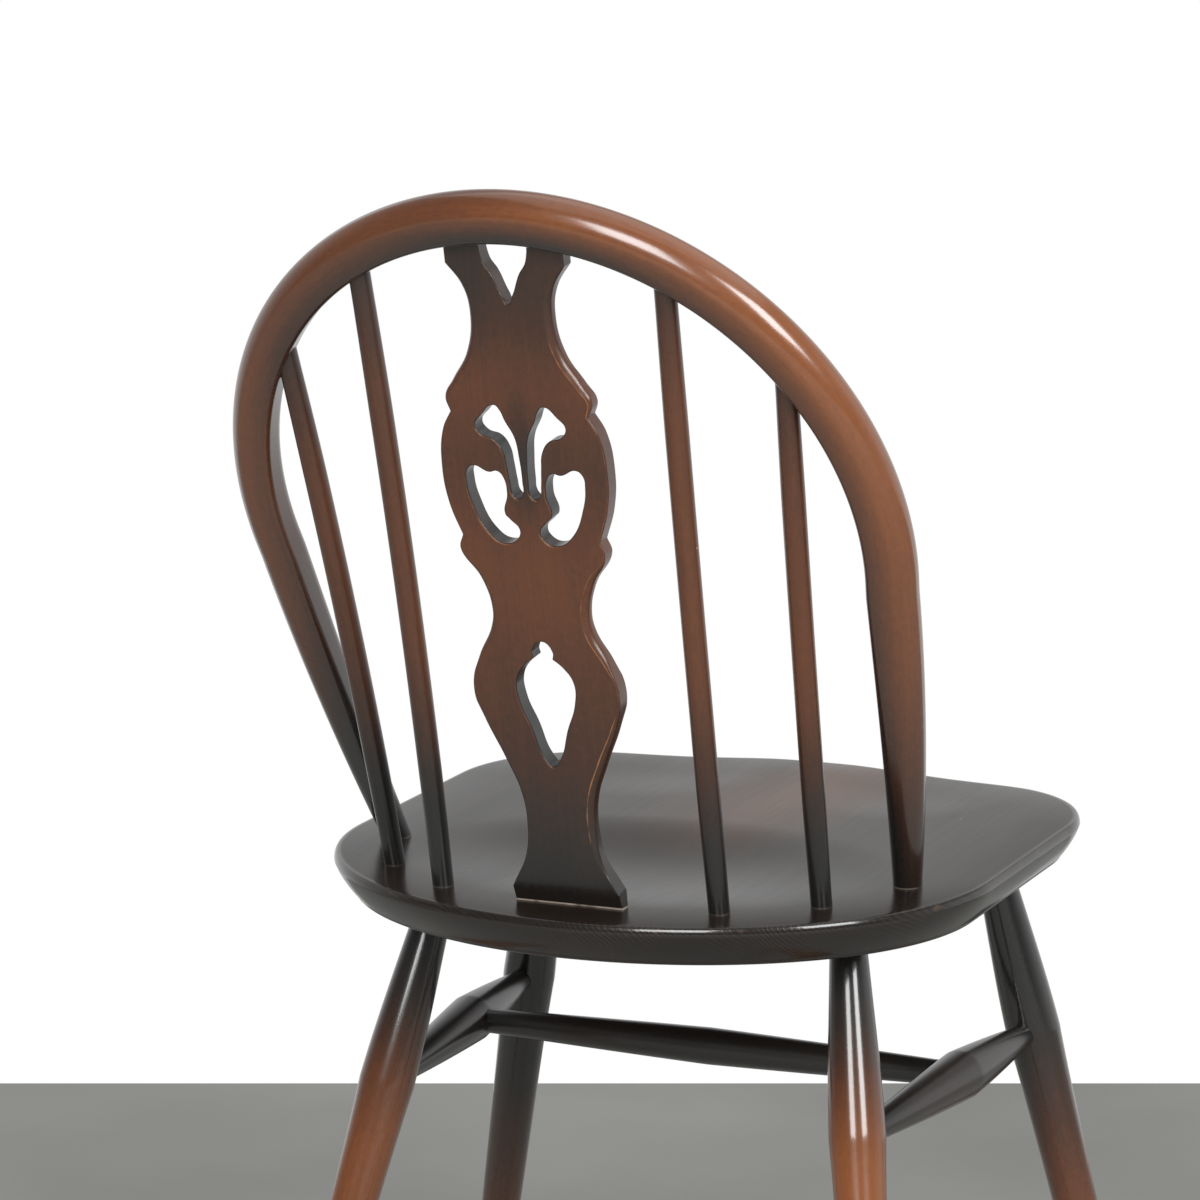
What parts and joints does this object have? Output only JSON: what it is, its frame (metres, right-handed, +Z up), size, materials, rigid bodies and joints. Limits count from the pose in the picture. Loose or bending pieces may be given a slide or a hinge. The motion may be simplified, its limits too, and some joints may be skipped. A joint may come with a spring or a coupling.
{
  "type": "dining chair",
  "caption": "Wooden bow-back dining chair with a pierced thistle splat between spindles, a saddled solid seat, and splayed turned legs tied by stretchers.",
  "frame": {"origin": "on the floor, below the middle of the chair's outline", "axes": "+Z up, -Y to the front where the sitter faces, +X to the sitter's left"},
  "size_m": [0.5, 0.4806, 0.8346],
  "materials": {
    "seat_wood": "dark stain under satin lacquer, worn on the seat",
    "bow_wood": "reddish brown stain under gloss lacquer, darker towards the seat",
    "splat_wood": "brown stain under satin lacquer, darker towards the seat",
    "spindle_wood": "brown stain under satin lacquer, darker towards both ends",
    "leg_wood": "dark stain at the seat running out to orange brown at the foot, gloss lacquer",
    "stretcher_wood": "dark brown stain under satin lacquer",
    "wedge_wood": "bare wood"
  },
  "bodies": {
    "root": {"seat": "seat_wood", "bow": "bow_wood", "splat": "splat_wood", "spindle_outer_left": "spindle_wood", "spindle_outer_right": "spindle_wood", "spindle_inner_left": "spindle_wood", "spindle_inner_right": "spindle_wood", "leg_front_left": "leg_wood", "leg_front_right": "leg_wood", "leg_rear_left": "leg_wood", "leg_rear_right": "leg_wood", "stretcher_left": "stretcher_wood", "stretcher_right": "stretcher_wood", "stretcher_cross": "stretcher_wood", "bow_wedge_left": "wedge_wood", "bow_wedge_right": "wedge_wood"}
  },
  "joints": []
}
